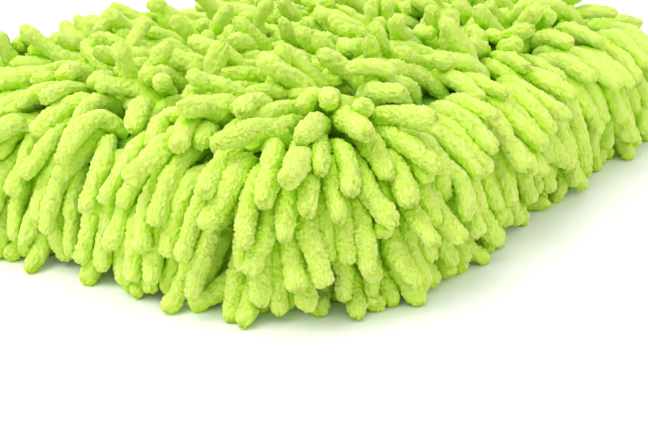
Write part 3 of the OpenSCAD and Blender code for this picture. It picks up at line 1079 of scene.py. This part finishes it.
def chenille_finish():
    """Short microfibre pile: pale fibre tips, with painted shade in a deeper green low between the fibres, at
    the roots and between noodles.
    """
    f = Finish("chenille", 0.95, sheen=0.16, sheen_tint=PILE_SHEEN, specular=0.15)
    high, far, shade = f.tint()
    pile = f.grain(0.34 * MM, 3)
    blotch = f.grain(6 * MM, 2)
    # Painted shade: a deeper green where the fibre stands low between its neighbours, mixed with a fine
    # random grain.
    pile_shade_and_grain = f.maths("ADD", f.maths("MULTIPLY", high, 0.45), f.maths("MULTIPLY", pile, 0.65))
    colour = f.mix(f.span(pile_shade_and_grain, 0.22, 0.70), LIME_SHADE_AND_BLOTCH, LIME_PALE)
    # Painted shade: a deeper green towards each noodle's root, deep in the pile.
    colour = f.mix(f.span(far, 0.0, 0.35, 0.45, 0.0), colour, LIME_ROOT_SHADE)
    colour = f.mix(f.maths("MULTIPLY", shade, 0.22), colour, LIME_WARM)
    colour = f.mix(f.span(blotch, 0.35, 0.75, 0.0, 0.18), colour, LIME_SHADE_AND_BLOTCH)
    # Painted shade: a deeper green where ambient occlusion finds the pile closed in between noodles.
    colour = f.mix(f.span(f.open_sky(6 * MM), 0.25, 0.85), LIME_SHADE_AND_BLOTCH, colour)
    f.colour(colour)
    f.rough(pile, 0.86, 1.0)
    f.bump(f.grain(0.32 * MM, 3), 0.30 * MM, 1.0)
    f.set("Subsurface Weight", 0.3)
    f.set("Subsurface Radius", (0.7, 1.0, 0.15))
    f.set("Subsurface Scale", 1.1 * MM)
    return f.material


def knit_finish():
    """Knitted base cloth: fine columns of loops with small dark holes between them."""
    f = Finish("base_knit", 0.9, sheen=0.15, sheen_tint=(0.8, 1.0, 0.5), specular=0.2)
    wales = f.wave(f.axis("X"), 1.5 * MM)
    courses = f.wave(f.axis("Y"), 1.1 * MM)
    mesh = f.maths("MULTIPLY", wales, courses)
    fuzz = f.grain(0.6 * MM, 2)
    colour = f.mix(f.span(mesh, 0.1, 0.7), (0.15, 0.40, 0.01), (0.34, 0.66, 0.02))
    colour = f.mix(f.span(fuzz, 0.4, 0.8, 0.0, 0.4), colour, (0.36, 0.60, 0.06))
    f.colour(colour)
    f.rough(fuzz, 0.8, 1.0)
    f.bump(f.maths("MULTIPLY_ADD", fuzz, 0.4, mesh), 0.5 * MM, 0.8)
    return f.material


def foam_finish():
    """Cream foam with small open pores and patches of a yellower tone."""
    f = Finish("foam", 0.92, specular=0.2)
    pores = f.cells(0.9 * MM)
    tone = f.grain(9 * MM, 2)
    colour = f.mix(f.span(pores, 0.1, 0.5), (0.62, 0.60, 0.50), (0.86, 0.85, 0.76))
    f.colour(f.mix(f.span(tone, 0.3, 0.8, 0.0, 0.3), colour, (0.78, 0.74, 0.58)))
    f.rough(tone, 0.85, 1.0)
    f.bump(pores, 0.4 * MM, 0.7)
    return f.material


def lining_finish():
    """Brushed tricot: fine lengthways ribs under a light nap."""
    f = Finish("lining", 0.85, sheen=0.35, specular=0.25)
    wales = f.wave(f.axis("X"), 0.9 * MM)
    nap = f.grain(0.8 * MM, 3, (1, 0.5, 1))
    blend = f.maths("MULTIPLY_ADD", nap, 0.6, f.maths("MULTIPLY", wales, 0.4))
    f.colour(f.mix(f.span(blend, 0.25, 0.75), (0.46, 0.47, 0.46), (0.68, 0.69, 0.68)))
    f.rough(nap, 0.75, 0.95)
    f.bump(blend, 0.25 * MM, 0.7)
    return f.material


def tape_finish(name, period, deep, pale, sheen):
    """Plain woven tape: over-and-under threads in both directions."""
    f = Finish(name, 0.75, sheen=sheen, specular=0.3)
    diagonal = f.maths("ADD", f.axis("X"), f.axis("Y"))
    warp = f.wave(diagonal, period)
    weft = f.wave(f.maths("ADD", f.axis("Z"), f.axis("Y")), period, 1.3)
    weave = f.maths("MULTIPLY_ADD", f.grain(0.35 * MM, 2), 0.5, f.maths("MULTIPLY", warp, weft))
    f.colour(f.mix(f.span(weave, 0.1, 0.9), deep, pale))
    f.rough(weave, 0.6, 0.85)
    f.bump(weave, 0.15 * MM, 0.6)
    return f.material


def rib_finish():
    """Rib knit: bright columns of stitches, with painted shade in a deeper green in the furrows between them.
    """
    f = Finish("rib_knit", 0.88, sheen=0.25, sheen_tint=PILE_SHEEN, specular=0.2)
    ridge, stitch, _ = f.tint()
    fuzz = f.grain(0.5 * MM, 3)
    yarn = f.grain(0.9 * MM, 2, (1, 0.4, 1))
    # Painted shade: low where the ridge is low, in the furrows, plus the stitch rows as a pattern.
    shade = f.maths("MULTIPLY_ADD", stitch, 0.25, f.maths("MULTIPLY", ridge, 0.75))
    colour = f.mix(f.span(shade, 0.1, 0.8), (0.16, 0.36, 0.015), (0.48, 0.74, 0.075))
    colour = f.mix(f.span(fuzz, 0.35, 0.75, 0.0, 0.35), colour, (0.58, 0.82, 0.13))
    colour = f.mix(f.span(yarn, 0.3, 0.8, 0.0, 0.2), colour, (0.30, 0.54, 0.03))
    f.colour(colour)
    f.rough(fuzz, 0.78, 0.98)
    f.bump(f.maths("ADD", fuzz, yarn), 0.25 * MM, 0.7)
    return f.material


def thread_finish():
    """Two-ply sewing thread, dyed a darker green than the cloth."""
    f = Finish("thread", 0.55, sheen=0.1, specular=0.4)
    ply = f.wave(f.maths("ADD", f.maths("ADD", f.axis("X"), f.axis("Y")), f.axis("Z")), 0.7 * MM)
    fibre = f.grain(0.3 * MM, 2)
    f.colour(f.mix(f.maths("MULTIPLY_ADD", fibre, 0.4, f.maths("MULTIPLY", ply, 0.6)),
                   (0.16, 0.33, 0.02), (0.36, 0.58, 0.07)))
    f.rough(fibre, 0.45, 0.7)
    f.bump(ply, 0.10 * MM, 0.7)
    return f.material


def label_finish():
    """White satin: fine crossways ribs, a soft gloss and slightly uneven tone."""
    f = Finish("label", 0.42, sheen=0.1, specular=0.5)
    ribs = f.wave(f.axis("Y"), 0.42 * MM)
    tone = f.grain(5 * MM, 2)
    colour = f.mix(f.span(tone, 0.3, 0.8, 0.0, 0.5), (0.80, 0.80, 0.78), (0.72, 0.72, 0.69))
    f.colour(f.mix(f.maths("MULTIPLY", ribs, 0.15), colour, (0.52, 0.52, 0.50)))
    f.rough(tone, 0.36, 0.52)
    f.bump(ribs, 0.05 * MM, 0.5)
    return f.material


# ---------------------------------------------------------------- assembly

def add_noodles():
    """All the noodles: one piece for each row, and for each part of an edge tier."""
    rng = np.random.default_rng(SEED)
    roots, normals, leans, owners = add_between(*read_noodles(), rng)
    chains, lengths = settle(roots, normals, leans, NOODLE_R, rng)
    away = np.linalg.norm(chains.mean(1) - np.array(camera.location), axis=1)
    detail = np.where(away < NEAR, 0, np.where(away < MIDDLE, 1, 2))
    detail[np.char.startswith(owners, "palm")] = 3
    parts = np.where(roots[:, 0] < 0, "_left", "_right").astype("U20")
    parts = np.char.add(parts, np.where(roots[:, 1] > MID[1] + TURN_Y, "_corner", "_side"))
    parts[np.abs(roots[:, 0]) < TURN_X] = "_tip"
    for name in sorted(set(owners)):
        pieces = {"": owners == name}
        if name.startswith("edge"):
            pieces = {part: pieces[""] & (parts == part) for part in sorted(set(parts))}
        for part, chosen in pieces.items():
            groups = []
            for level, (around, along) in enumerate(RESOLUTION):
                index = np.flatnonzero(chosen & (detail == level))
                if len(index):
                    seed = int(index[0])
                    groups.append(noodle_parts(chains[index], lengths[index], seed, around, along))
            piece = build(name + part + ".pile", *joined(groups))
            finish_piece(piece, CHENILLE, "chenille", "mitt", name)


def joined(groups):
    """One set of mesh arrays from several, with each group's UVs in its own strip."""
    vertices = np.concatenate([g[0] for g in groups])
    start = np.concatenate([[0], np.cumsum([len(g[0]) for g in groups])])
    quads = np.concatenate([g[1] + start[k] for k, g in enumerate(groups)])
    tris = np.concatenate([g[2] + start[k] for k, g in enumerate(groups)])
    share = np.array([1 / len(groups), 1])
    uvs = [g[3] * share + [k / len(groups), 0] for k, g in enumerate(groups)]
    loops = [4 * len(g[1]) for g in groups]
    uv = np.concatenate([u[:n] for u, n in zip(uvs, loops)] + [u[n:] for u, n in zip(uvs, loops)])
    return vertices, quads, tris, uv, np.concatenate([g[4] for g in groups])


def finish_piece(piece, material, slot, body, *nodes):
    """Gives a piece its material, ties it to its body and hides the CAD nodes it stands for. The slot is not
    used.
    """
    piece.data.materials.append(material)
    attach(piece, body)
    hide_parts(*nodes)


# ---------------------------------------------------------------- stage, light and camera

def add_camera():
    """The viewpoint of the picture: low over the left front corner, which points at it."""
    turn, down, roll = math.radians(36.9), math.radians(20.4), math.radians(2.4)
    height, distance, aside = 117.0 * MM, 202.0 * MM, 4.5 * MM
    forward = np.array([math.sin(turn), -math.cos(turn)])
    right = np.array([-math.cos(turn), -math.sin(turn)])
    corner = np.array([cad_bounds[0].x, cad_bounds[1].y])
    spot = corner - right * aside - forward * distance
    data = bpy.data.cameras.new("camera")
    obj = bpy.data.objects.new("camera", data)
    bpy.context.scene.collection.objects.link(obj)
    obj.location = (spot[0], spot[1], height)
    look = Vector((forward[0] * math.cos(down), forward[1] * math.cos(down), -math.sin(down)))
    aim = look.to_track_quat("-Z", "Y") @ Quaternion((0, 0, 1), -roll)
    obj.rotation_euler = aim.to_euler()
    data.sensor_width = 36
    data.lens = 56.7
    data.clip_start = 0.01
    bpy.context.scene.camera = obj
    return obj


def add_floor():
    """A wide white table top, which is stage and not part of the mitt."""
    bpy.ops.mesh.primitive_plane_add(size=6)
    floor = bpy.context.object
    floor.name = "floor"
    f = Finish("floor", 0.9)
    f.colour((0.95, 0.95, 0.95, 1))
    floor.data.materials.append(f.material)


def add_light():
    """Even white light from all round, and a soft box high over the fingertip side."""
    world = bpy.data.worlds.new("studio")
    bpy.context.scene.world = world
    world.use_nodes = True
    background = world.node_tree.nodes["Background"]
    background.inputs["Color"].default_value = (1, 1, 1, 1)
    background.inputs["Strength"].default_value = 1.05
    data = bpy.data.lights.new("soft_box", "AREA")
    data.shape = "DISK"
    data.size = 0.7
    data.energy = 4.2
    lamp = bpy.data.objects.new("soft_box", data)
    bpy.context.scene.collection.objects.link(lamp)
    lamp.location = (0.10, 0.50, 0.85)
    lamp.rotation_euler = (-lamp.location).to_track_quat("-Z", "Y").to_euler()


camera = add_camera()
add_floor()
add_light()
CHENILLE = chenille_finish()
KNIT = knit_finish()
FOAM = foam_finish()
LINING = lining_finish()
BINDING = tape_finish("binding", 0.7 * MM, (0.42, 0.43, 0.43), (0.72, 0.73, 0.73), 0.1)
RIB = rib_finish()
ELASTIC = tape_finish("elastic", 0.9 * MM, (0.60, 0.60, 0.58), (0.86, 0.86, 0.84), 0.1)
THREAD = thread_finish()
WEBBING = tape_finish("webbing", 1.0 * MM, (0.14, 0.30, 0.02), (0.34, 0.56, 0.06), 0.2)
LABEL = label_finish()
add_noodles()
add_layers()
add_seam()
add_cuff()
add_elastic()
add_cuff_threads()
add_loop()
add_tacks()
add_label()
scene = bpy.context.scene
scene.view_settings.view_transform = "Standard"
scene.cycles.diffuse_bounces = 8
scene.cycles.max_bounces = 10
